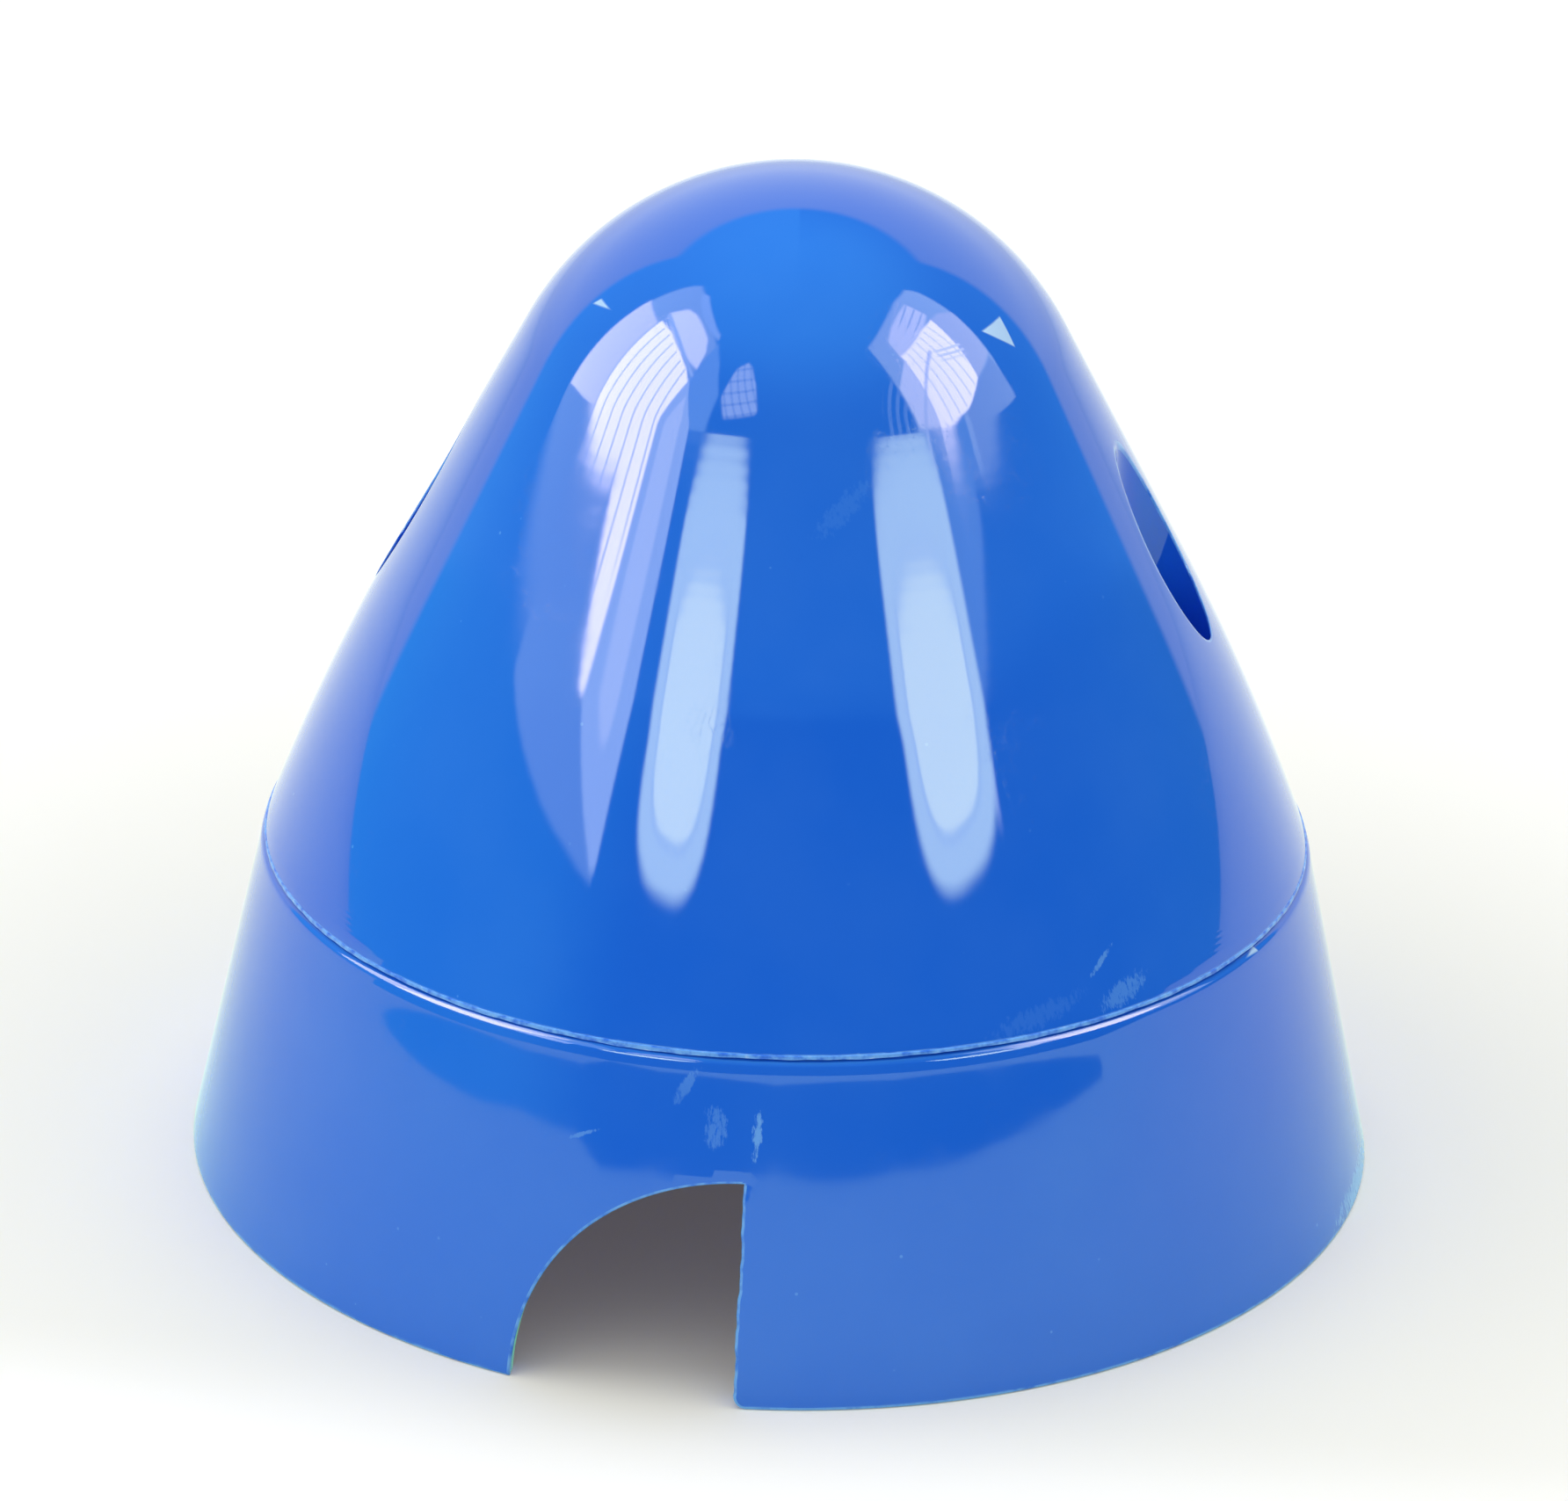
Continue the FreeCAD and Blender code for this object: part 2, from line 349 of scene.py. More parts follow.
class ConeOutline:
    """Half section of the cone or of its inner face, walked from the tip by its length."""

    def __init__(self, size, inset=0.0):
        slope = size.flank_angle
        self.sine, self.cosine = math.sin(slope), math.cos(slope)
        self.nose_reach = size.nose_radius - inset
        self.nose_height = nose_top - size.nose_radius
        top = (size.nose_radius * self.cosine, self.nose_height + size.nose_radius * self.sine)
        run = (top[1] - size.belly_start) / self.cosine
        end = (top[0] + self.sine * run, size.belly_start)
        across = cone_rim_radius - end[0]
        down = skirt_height + size.seam_gap - end[1]
        belly = -(across ** 2 + down ** 2) / (2 * (across * self.cosine + down * self.sine))
        self.belly_centre = (end[0] - self.cosine * belly, end[1] - self.sine * belly)
        self.belly_reach = belly - inset
        self.slope = slope
        self.nose_length = self.nose_reach * (math.pi / 2 - slope)
        self.flank_length = self.nose_length + run
        self.flank_radius = self.nose_reach * self.cosine

    def section(self, along):
        """Radius and height at a length from the tip."""
        along = np.asarray(along, float)
        lean = along / self.nose_reach
        nose = (self.nose_reach * np.sin(lean), self.nose_height + self.nose_reach * np.cos(lean))
        run = along - self.nose_length
        flank_top = self.nose_height + self.nose_reach * self.sine
        flank = (self.flank_radius + run * self.sine, flank_top - run * self.cosine)
        turn = self.slope - (along - self.flank_length) / self.belly_reach
        belly = (
            self.belly_centre[0] + self.belly_reach * np.cos(turn),
            self.belly_centre[1] + self.belly_reach * np.sin(turn),
        )
        on_nose, on_flank = along < self.nose_length, along < self.flank_length
        return tuple(np.where(on_nose, n, np.where(on_flank, f, b)) for n, f, b in zip(nose, flank, belly))

    def along(self, radius):
        """Length from the tip to a radius."""
        radius = np.asarray(radius, float)
        nose = self.nose_reach * np.arcsin(np.clip(radius / self.nose_reach, 0, 1))
        flank = self.nose_length + (radius - self.flank_radius) / self.sine
        turn = np.arccos(np.clip((radius - self.belly_centre[0]) / self.belly_reach, -1, 1))
        belly = self.flank_length + (self.slope - turn) * self.belly_reach
        on_nose, on_flank = radius < self.flank_radius, flank < self.flank_length
        return np.where(on_nose, nose, np.where(on_flank, flank, belly))

    def along_at_height(self, height):
        """Length from the tip to a height on the belly arc."""
        turn = math.asin((height - self.belly_centre[1]) / self.belly_reach)
        return self.flank_length + (self.slope - turn) * self.belly_reach

    def height(self, radius):
        return self.section(self.along(radius))[1]

    def radius_at_height(self, height):
        return float(self.section(self.along_at_height(height))[0])

    def ring(self, along):
        """The circle on the face at a length from the tip."""
        radius, height = self.section(along)
        return circle(float(radius), float(height), RIM_POINTS)

    def wrap(self, flat):
        """Points on the face, from points on a plane where the reach is the length from the tip."""
        reach = np.hypot(flat[:, 0], flat[:, 1])
        radius, height = self.section(reach)
        unit = flat / np.maximum(reach, SAME_POINT)[:, None]
        return np.c_[unit * radius[:, None], height]

    def unwrap(self, plan):
        """The reverse of wrap, from plan points."""
        radius = np.hypot(plan[:, 0], plan[:, 1])
        return plan[:, :2] * (self.along(radius) / radius)[:, None]


def circle(radius, height, count, centre=(0.0, 0.0)):
    turn = np.arange(count) * 2 * math.pi / count
    across, beside = radius * np.cos(turn), radius * np.sin(turn)
    return np.c_[centre[0] + across, centre[1] + beside, np.full(count, height)]


def flat_circle(radius, count=RIM_POINTS, centre=(0.0, 0.0)):
    return circle(radius, 0.0, count, centre)[:, :2]


def on_level(height):
    """A function that lifts flat points to a height."""
    return lambda flat: np.c_[flat, np.full(len(flat), height)]


def ease(start, corner, end, steps=3):
    """Rings of a rounded edge, between the start and end rings and inside their corner."""
    parts = np.arange(1, steps + 1) / (steps + 1)
    return [(1 - t) ** 2 * start + 2 * t * (1 - t) * corner + t ** 2 * end for t in parts]


def towards(start, end, distance):
    """Each start point moved a distance towards its end point."""
    way = end - start
    return start + way * (distance / np.linalg.norm(way, axis=1))[:, None]


def staggered_rings(reaches, girths, spacing):
    """Points on circles of a plane, in numbers that suit each circle's true girth."""
    rows = []
    for number, (reach, girth) in enumerate(zip(reaches, girths)):
        count = max(6, round(girth / spacing))
        turn = (np.arange(count) + number % 2 / 2) * 2 * math.pi / count
        rows.append(np.c_[reach * np.cos(turn), reach * np.sin(turn)])
    return np.concatenate(rows)


def inside_loop(points, loop):
    """Which points of a plane lie inside a closed loop."""
    inside = np.zeros(len(points), bool)
    for start, end in zip(loop, np.roll(loop, -1, axis=0)):
        crosses = (start[1] > points[:, 1]) != (end[1] > points[:, 1])
        if start[1] != end[1]:
            side = start[0] + (points[:, 1] - start[1]) * (end[0] - start[0]) / (end[1] - start[1])
            inside ^= crosses & (points[:, 0] < side)
    return inside


def triangulate(border, holes, inner):
    """Triangles of a plane inside the border and outside the holes, through the inner points."""
    loops = [border] + holes
    points = np.concatenate(loops + [inner])
    edges = []
    for loop in loops:
        first = len(edges)
        edges += [(first + i, first + (i + 1) % len(loop)) for i in range(len(loop))]
    result = delaunay_2d_cdt([Vector(p) for p in points / MM], edges, [], 0, 1e-5)
    origin = np.array([sources[0] for sources in result[3]])
    triangles = origin[np.array(result[2])]
    centres = points[triangles].mean(axis=1)
    keep = inside_loop(centres, border)
    for hole in holes:
        keep &= ~inside_loop(centres, hole)
    return points, triangles[keep]


class Moulding:
    """Collects the rings, bands and sheets of one closed moulding."""

    def __init__(self):
        self.points = []
        self.count = 0
        self.faces = []

    def ring(self, points):
        first = self.count
        self.points.append(np.asarray(points, float))
        self.count += len(points)
        return np.arange(first, self.count)

    def band(self, first, second):
        """Faces between two closed rings with the same number of points."""
        quads = np.stack([first, np.roll(first, -1), np.roll(second, -1), second], 1)
        self.faces += quads.tolist()

    def bands(self, start, rings, end=None):
        """Bands from a placed ring through new rings, to another placed ring if given."""
        for points in rings:
            ring = self.ring(points)
            self.band(start, ring)
            start = ring
        if end is not None:
            self.band(start, end)
        return start

    def sheet(self, border, holes, inner, place):
        """A triangulated face. Returns the placed rings of its border and holes."""
        flat, triangles = triangulate(border, holes, inner)
        placed = self.ring(place(flat))
        self.faces += placed[triangles].tolist()
        rings, first = [], 0
        for loop in [border] + holes:
            rings.append(placed[first:first + len(loop)])
            first += len(loop)
        return rings

    def prism(self, outline, thickness, turn):
        """A closed rib: an outline in the radial plane, with a thickness, turned about the shaft."""
        spin = np.array(Matrix.Rotation(turn, 3, "Z"))
        sides = []
        for offset in (-thickness / 2, thickness / 2):
            flat = np.array([(r, offset, z) for r, z in outline])
            sides.append(self.ring(flat @ spin.T))
        self.band(sides[0], sides[1])
        self.faces.append(sides[0].tolist())
        self.faces.append(sides[1].tolist()[::-1])

    def build(self, name, sharp=math.radians(38)):
        """The piece: smooth, but sharp where faces meet at more than an angle."""
        mesh = bpy.data.meshes.new(name)
        mesh.from_pydata(np.concatenate(self.points).tolist(), [], self.faces)
        work = bmesh.new()
        work.from_mesh(mesh)
        bmesh.ops.remove_doubles(work, verts=work.verts, dist=1e-7)
        bmesh.ops.recalc_face_normals(work, faces=work.faces)
        work.to_mesh(mesh)
        work.free()
        mesh.shade_smooth()
        mesh.set_sharp_from_angle(angle=sharp)
        piece = bpy.data.objects.new(name, mesh)
        bpy.context.scene.collection.objects.link(piece)
        return piece


def mark_edge_highlights(piece, curves, rounding):
    """Mark the narrow faces that round the edges whose sharp curves are given; the plastic paints a pale
    highlight on them.
    """
    reach = 1.1 * rounding
    mesh = piece.data
    points = np.zeros(len(mesh.vertices) * 3)
    mesh.vertices.foreach_get("co", points)
    edge_points = np.concatenate(curves)
    tree = KDTree(len(edge_points))
    for number, point in enumerate(edge_points):
        tree.insert(point, number)
    tree.balance()
    near = np.array([tree.find(point)[2] <= reach for point in points.reshape(-1, 3)])
    edge_highlight = mesh.attributes.new("edge_highlight", "FLOAT", "FACE")
    edge_highlight.data.foreach_set("value", [float(near[list(face.vertices)].all()) for face in mesh.polygons])


def dress(piece, material, slot, *nodes):
    """Give a piece its material and body, and hide the frame nodes that it stands for. The slot is not
    used.
    """
    piece.data.materials.clear()
    piece.data.materials.append(material)
    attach(piece, BODY)
    if nodes:
        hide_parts(*nodes)


# Nose cone


def well_centres():
    return [np.array([screw_reach, 0.0]), np.array([-screw_reach, 0.0])]


def mouth_rings(outline, centre, radius, edge):
    """Rings on the outer face and down a well's wall that round the well's mouth."""
    corner = circle(radius, 0.0, WELL_POINTS, centre)
    away = (corner[:, :2] - centre) / radius
    nudge = 0.01 * MM
    reach = np.hypot(corner[:, 0], corner[:, 1])
    corner[:, 2] = outline.height(reach)
    beyond = corner[:, :2] + away * nudge
    climb = (outline.height(np.hypot(beyond[:, 0], beyond[:, 1])) - corner[:, 2]) / nudge
    face = corner[:, :2] + away * (edge / np.sqrt(1 + climb ** 2))[:, None]
    face = np.c_[face, outline.height(np.hypot(face[:, 0], face[:, 1]))]
    wall = corner - np.array([0.0, 0.0, edge])
    return face, corner, wall


def cone_face(moulding, outline, end, mouths):
    """The cone's outer or inner face, down to a length, with a hole for each mouth ring."""
    step = sizes().mesh_step
    # Round each mouth the sheet gives way to two rings of points that follow its border
    margin = 0.5 * MM
    reaches = np.arange(step / 2, end - step * 0.6, step * ROW_SHARE)
    girths = 2 * math.pi * outline.section(reaches)[0]
    inner = staggered_rings(reaches, girths, step)
    plan = outline.wrap(inner)[:, :2]
    extra = []
    for centre, mouth in zip(well_centres(), mouths):
        radius = np.hypot(*(mouth[:, :2] - centre).T)
        far = np.hypot(*(plan - centre).T)
        keep = far > radius.max() + margin
        inner, plan = inner[keep], plan[keep]
        for share in (0.3, 0.75):
            ring = mouth[:, :2] + (mouth[:, :2] - centre) / radius[:, None] * margin * share
            extra.append(outline.unwrap(ring))
    holes = [outline.unwrap(mouth) for mouth in mouths]
    return moulding.sheet(flat_circle(end), holes, np.concatenate([inner] + extra), outline.wrap)


def make_cone_mesh():
    """The nose cone: outer and inner face, rounded rim, and the two screw wells."""
    size = sizes()
    edge = size.mould_edge
    bottom = skirt_height + size.seam_gap
    outer, inner = ConeOutline(size), ConeOutline(size, size.cone_wall)
    outer_end, inner_end = outer.along_at_height(bottom), inner.along_at_height(bottom)
    inner_rim = inner.radius_at_height(bottom)
    moulding = Moulding()
    mouths = [mouth_rings(outer, centre, size.well_radius, size.well_lip) for centre in well_centres()]
    outer_rings = cone_face(moulding, outer, outer_end - edge, [mouth[0] for mouth in mouths])
    tube_radius = size.well_radius + size.well_wall
    tubes = []
    for centre in well_centres():
        tube = circle(tube_radius, 0.0, WELL_POINTS, centre)
        tube[:, 2] = inner.height(np.hypot(tube[:, 0], tube[:, 1]))
        tubes.append(tube)
    inner_rings = cone_face(moulding, inner, inner_end - edge, tubes)
    rim_start = outer.ring(outer_end - edge)
    rim_corner = circle(cone_rim_radius, bottom, RIM_POINTS)
    rim_under = circle(cone_rim_radius - edge, bottom, RIM_POINTS)
    inner_under = circle(inner_rim + edge, bottom, RIM_POINTS)
    inner_corner = circle(inner_rim, bottom, RIM_POINTS)
    inner_start = inner.ring(inner_end - edge)
    rings = ease(rim_start, rim_corner, rim_under) + [rim_under, inner_under]
    rings += ease(inner_under, inner_corner, inner_start)
    moulding.bands(outer_rings[0], rings, inner_rings[0])
    seat = skirt_height + size.well_floor
    for number, centre in enumerate(well_centres()):
        face, corner, wall = mouths[number]
        rings = ease(face, corner, wall) + [wall]
        for radius, height in (
            (size.well_radius, seat),
            (size.screw_hole_radius, seat),
            (size.screw_hole_radius, skirt_height),
            (tube_radius, skirt_height),
        ):
            rings.append(circle(radius, height, WELL_POINTS, centre))
        moulding.bands(outer_rings[1 + number], rings, inner_rings[1 + number])
    add_well_ribs(moulding, size, tube_radius)
    piece = moulding.build("cone_moulding")
    mark_edge_highlights(piece, [mouth[1] for mouth in mouths], size.well_lip)
    return piece


def add_well_ribs(moulding, size, tube_radius):
    """The rib between each well's tube and the cone's wall."""
    middle = ConeOutline(size, size.cone_wall / 2)
    low = skirt_height + size.register_height + size.register_clearance
    inside = screw_reach + tube_radius - size.well_wall / 2
    top = float(middle.height(inside))
    heights = np.linspace(low, top, 12)
    outside = [(middle.radius_at_height(h), h) for h in heights]
    outline = [(inside, low)] + outside
    for turn in (0.0, math.pi):
        moulding.prism(outline, size.rib_thickness, turn)


# Rear skirt


def skirt_radius(height):
    """Radius of the skirt's outer face, with the slight flare under its front edge."""
    size = sizes()
    flare = (np.maximum(height - size.flare_height, 0.0) / MM) ** 3 * size.flare * MM
    return rim_radius + (size.skirt_top_radius - rim_radius) * height / skirt_height + flare


def skirt_inner_radius(height):
    """Radius of the skirt's inner face. The wall thickens towards the web."""
    size = sizes()
    web_bottom = skirt_height - size.web_thickness
    wall = size.rim_wall + (size.skirt_top_wall - size.rim_wall) * height / web_bottom
    return skirt_radius(height) - wall


def cutout_path(size, inset):
    """Half of the skirt's lower edge, as side and height in the cut-out's own view."""
    width = size.cutout_width + inset
    centre = size.cutout_height - size.cutout_width
    corner = size.cutout_corner
    low = max(centre, inset)
    path = [(-width, height) for height in np.linspace(inset, low, 6)[:-1] if low > inset]
    first = math.pi - math.asin((low - centre) / width)
    last = math.acos(inset / width)
    for turn in np.linspace(first, last, 90):
        path.append((width * math.cos(turn), centre + width * math.sin(turn)))
    top = path[-1][1]
    for height in np.linspace(top, corner, EDGE_POINTS)[1:-1]:
        path.append((inset + straight_edge_wobble(height, top), height))
    for turn in np.linspace(math.pi, 1.5 * math.pi, 8):
        reach = corner - inset
        path.append((corner + reach * math.cos(turn), corner + reach * math.sin(turn)))
    return np.array(path) + (size.cutout_offset, 0.0)


def straight_edge_wobble(height, top):
    """The straight edge was trimmed by hand, so it wanders a little."""
    up = height / MM
    swing = 0.035 * math.sin(1.1 * up + 0.6) + 0.02 * math.sin(3.7 * up) + 0.012 * math.sin(8.3 * up + 1.0)
    ends = min(1.0, up / 1.5) * min(1.0, max(0.0, (top / MM - up) / 1.5))
    return swing * ends * MM


def lower_edge(size, radius_at, inset):
    """The skirt's whole lower edge on its outer or inner face, as a closed ring of points."""
    path = cutout_path(size, inset)
    ring = []
    for turn in (0.0, math.pi):
        spin = np.array(Matrix.Rotation(turn, 2))
        radius = radius_at(path[:, 1])
        plan = np.c_[path[:, 0], -np.sqrt(radius ** 2 - path[:, 0] ** 2)] @ spin.T
        ring.append(np.c_[plan, path[:, 1]])
        rim = radius_at(inset)
        start = math.atan2(plan[-1, 1], plan[-1, 0])
        foot = math.atan2(-plan[0, 1], -plan[0, 0])
        sweep = (foot - start) % (2 * math.pi)
        turns = start + sweep * np.arange(1, FOOT_POINTS) / FOOT_POINTS
        ring.append(np.c_[rim * np.cos(turns), rim * np.sin(turns), np.full(FOOT_POINTS - 1, inset)])
    return np.concatenate(ring)


def skirt_face(moulding, size, radius_at, top, edge_ring):
    """The skirt's outer or inner face, from its top ring down to its lower edge."""
    step = size.mesh_step
    base = size.skirt_top_radius

    def place(flat):
        reach = np.hypot(flat[:, 0], flat[:, 1])
        height = top - (reach - base)
        radius = radius_at(height)
        return np.c_[flat * (radius / reach)[:, None], height]

    def flatten(points):
        radius = np.hypot(points[:, 0], points[:, 1])
        reach = base + top - points[:, 2]
        return points[:, :2] * (reach / radius)[:, None]

    border = flatten(edge_ring)
    foot = base + top - size.mould_edge
    reaches = np.arange(base + step * 0.7, foot - step * 0.5, step * ROW_SHARE)
    inner = staggered_rings(reaches, 2 * math.pi * radius_at(top - (reaches - base)), step)
    inner = inner[inside_loop(inner, border)]
    gap = np.full(len(inner), np.inf)
    for point in border:
        gap = np.minimum(gap, np.hypot(*(inner - point).T))
    return moulding.sheet(border, [flat_circle(base)], inner[gap > step * 0.45], place)


def add_skirt_wall(moulding, size, top, web_bottom):
    """The conical wall. Returns its top rings outside and inside, and its sharp lower edge."""
    edge = size.mould_edge
    outer_edge = [lower_edge(size, skirt_radius, inset) for inset in (edge, 0.0)]
    inner_edge = [lower_edge(size, skirt_inner_radius, inset) for inset in (edge, 0.0)]
    outer_rings = skirt_face(moulding, size, skirt_radius, top, outer_edge[0])
    inner_rings = skirt_face(moulding, size, skirt_inner_radius, web_bottom, inner_edge[0])
    outer_under = towards(outer_edge[1], inner_edge[1], edge)
    inner_under = towards(inner_edge[1], outer_edge[1], edge)
    rings = ease(outer_edge[0], outer_edge[1], outer_under) + [outer_under, inner_under]
    rings += ease(inner_under, inner_edge[1], inner_edge[0])
    moulding.bands(outer_rings[0], rings, inner_rings[0])
    return outer_rings[1], inner_rings[1], outer_edge[1]


def front_edge(size):
    """The height where the outer face ends, and the rings that round it into the front plane."""
    reach = size.skirt_edge_radius
    slope = math.atan2(rim_radius - size.skirt_top_radius, skirt_height)
    height = skirt_height - reach
    centre = skirt_radius(height) - reach / math.cos(slope)
    rings = [
        circle(centre + reach * math.cos(turn), height + reach * math.sin(turn), RIM_POINTS)
        for turn in np.linspace(slope, math.pi / 2, 9)[1:]
    ]
    return height + reach * math.sin(slope), rings


def make_skirt_mesh():
    """The rear skirt: its wall with the cut-outs, register ring, web, hub, bosses and ribs."""
    size = sizes()
    web_bottom = skirt_height - size.web_thickness
    face_top, rounding = front_edge(size)
    moulding = Moulding()
    outer_top, inner_top, edge_curve = add_skirt_wall(moulding, size, face_top, web_bottom)
    register_top = skirt_height + size.register_height
    cone_inside = ConeOutline(size, size.cone_wall).radius_at_height(register_top)
    register_outer = cone_inside - size.register_clearance
    register_inner = register_outer - size.register_width
    register = moulding.bands(outer_top, rounding + [
        circle(register_outer, skirt_height, RIM_POINTS),
        circle(register_outer, register_top, RIM_POINTS),
        circle(register_inner, register_top, RIM_POINTS),
    ])
    hub = flat_circle(size.hub_radius)
    nothing = np.zeros((0, 2))
    holes = [flat_circle(size.thread_radius, WELL_POINTS, centre) for centre in well_centres()]
    front = moulding.sheet(flat_circle(register_inner), [hub] + holes, nothing, on_level(skirt_height))
    moulding.band(register, front[0])
    bosses = [flat_circle(size.boss_radius, WELL_POINTS, centre) for centre in well_centres()]
    wall = flat_circle(skirt_inner_radius(web_bottom))
    back = moulding.sheet(wall, [hub] + bosses, nothing, on_level(web_bottom))
    moulding.band(inner_top, back[0])
    hub_bottom = web_bottom - size.hub_drop
    moulding.bands(front[1], hub_rings(size, skirt_height + size.hub_rise, hub_bottom), back[1])
    for number, centre in enumerate(well_centres()):
        boss_rings = [
            circle(radius, size.boss_height, WELL_POINTS, centre)
            for radius in (size.boss_radius, size.thread_radius)
        ]
        moulding.bands(back[2 + number], boss_rings, front[2 + number])
    add_web_ribs(moulding, size, web_bottom, hub_bottom)
    piece = moulding.build("skirt_moulding")
    mark_edge_highlights(piece, [edge_curve], size.mould_edge)
    return piece


def hub_rings(size, top, bottom):
    """Rings over the hub's front face, down the shaft hole and back over its rear face."""
    chamfer = size.hub_chamfer
    return [
        circle(radius, height, RIM_POINTS)
        for radius, height in (
            (size.hub_radius, top),
            (bore_radius + chamfer, top),
            (bore_radius, top - chamfer),
            (bore_radius, bottom + chamfer),
            (bore_radius + chamfer, bottom),
            (size.hub_radius, bottom),
        )
    ]


def add_web_ribs(moulding, size, web_bottom, hub_bottom):
    """The ribs under the web, and the deeper rib from each boss to the wall."""
    # Each rib runs a little way into what it joins, and ends just short of the hub's rear face
    sink = 0.2 * MM
    start = (bore_radius + size.hub_radius) / 2
    rib_bottom = hub_bottom + sink / 10
    for index in range(size.rib_count):
        outline = [
            (start, rib_bottom),
            (skirt_inner_radius(rib_bottom) + sink, rib_bottom),
            (skirt_inner_radius(web_bottom) + sink, web_bottom + sink),
            (start, web_bottom + sink),
        ]
        moulding.prism(outline, size.rib_thickness, 2 * math.pi * index / size.rib_count)
    low = size.boss_height + 2 * MM
    inside = screw_reach + size.boss_radius - 2 * sink
    outline = [
        (inside, low),
        (skirt_inner_radius(low) + sink, low),
        (skirt_inner_radius(web_bottom) + sink, web_bottom + sink),
        (inside, web_bottom + sink),
    ]
    for turn in (0.0, math.pi):
        moulding.prism(outline, size.rib_thickness + sink, turn)


# Flash

FLASH_POINTS = 2160
# Swings round a torn edge: cycles round the part, and relative size
FLASH_SWINGS = ((3, 1.0), (7, 0.8), (17, 0.7), (41, 0.5), (97, 0.35))


def wander(turn, seed):
    """A smooth random swing round the part, from about -1 to 1."""
    draw = np.random.default_rng(seed)
    total = np.zeros_like(turn)
    for cycles, size in FLASH_SWINGS:
        total += size * np.sin(cycles * turn + draw.uniform(0, 2 * math.pi))
    return total / sum(size for _, size in FLASH_SWINGS)


def make_seam_flash():
    """The thin torn skin that hangs from the cone's rim along the seam."""
    turn = np.arange(FLASH_POINTS) * 2 * math.pi / FLASH_POINTS
    rim = np.full(FLASH_POINTS, cone_rim_radius)
    bottom = np.full(FLASH_POINTS, skirt_height + sizes().seam_gap)
    drop = (0.085 + 0.07 * wander(turn, 3)) * MM
    stand = (0.035 + 0.035 * wander(turn, 5)) * MM
    thickness = 0.05 * MM
    moulding = Moulding()
    rings = []
    for radius, height in (
        (rim - thickness, bottom + 0.10 * MM),
        (rim + 0.02 * MM, bottom + 0.06 * MM),
        (rim + stand, bottom - drop),
        (rim + stand - thickness, bottom - drop),
    ):
        rings.append(moulding.ring(np.c_[radius * np.cos(turn), radius * np.sin(turn), height]))
    for first, second in zip(rings, rings[1:] + rings[:1]):
        moulding.band(first, second)
    return moulding.build("seam_flash")


# Materials

# Marks on the faces: azimuth from -Y towards +X in degrees, height, half length and half
# width in millimetres, tilt in degrees, and strength
SCUFFS = (
    (17.1, 38.4, 1.7, 0.5, 40, 0.12),
    (45.0, 18.5, 0.95, 0.13, 36, 0.6),
    (47.1, 16.95, 1.5, 0.5, 14, 0.42),
    (36.0, 16.9, 2.6, 0.5, 12, 0.12),
    (-1.7, 14.6, 0.95, 0.26, 58, 0.34),
    (1.6, 12.8, 0.9, 0.55, 88, 0.36),
    (5.8, 12.7, 1.1, 0.22, 86, 0.85),
    (-12.0, 11.8, 0.8, 0.10, 25, 0.5),
    (88.0, 0.5, 4.8, 0.7, 0, 1.0),
    (-84.0, 3.6, 1.0, 0.35, 85, 0.8),
)
# Bare chips: azimuth and height of the middle, then the corners round it in millimetres
CHIPS = (
    (65.0, 43.97, ((-1.02, 0.30), (0.48, -0.73), (0.68, 0.46))),
    (-50.6, 44.62, ((-0.75, -0.12), (0.55, 0.02), (-0.45, 0.16))),
    (68.6, 15.86, ((-0.55, -0.05), (0.5, -0.14), (0.35, 0.10))),
)
# Distance in front of the shaft from which a face shows its marks, in millimetres
MARKS_START, MARKS_FULL = 4.0, 5.0


def skin_place(shader, place, azimuth, height):
    """Millimetres along and up the face from a point at an azimuth and height."""
    turn = math.radians(azimuth)
    ahead = shader.vector("DOT_PRODUCT", place, (math.sin(turn), -math.cos(turn), 0.0), 1)
    across = shader.vector("DOT_PRODUCT", place, (math.cos(turn), math.sin(turn), 0.0), 1)
    near = shader.step(ahead, MARKS_START, MARKS_FULL)
    return across, shader.part(place, 2) - height, near


def scuff_mask(shader, place, grain, mark):
    """A soft oval with a torn border."""
    azimuth, height, reach, width, tilt, strength = mark
    across, up, near = skin_place(shader, place, azimuth, height)
    cosine, sine = math.cos(math.radians(tilt)), math.sin(math.radians(tilt))
    along = (across * cosine + up * sine) / reach
    beside = (up * cosine - across * sine) / width
    far = along * along + beside * beside + grain
    return (1 - shader.step(far, 0.35, 1.35)) * near * strength


def chip_mask(shader, place, mark):
    """A chip with straight borders."""
    azimuth, height, corners = mark
    across, up, near = skin_place(shader, place, azimuth, height)
    return shader.convex(across, up, corners, 0.05) * near


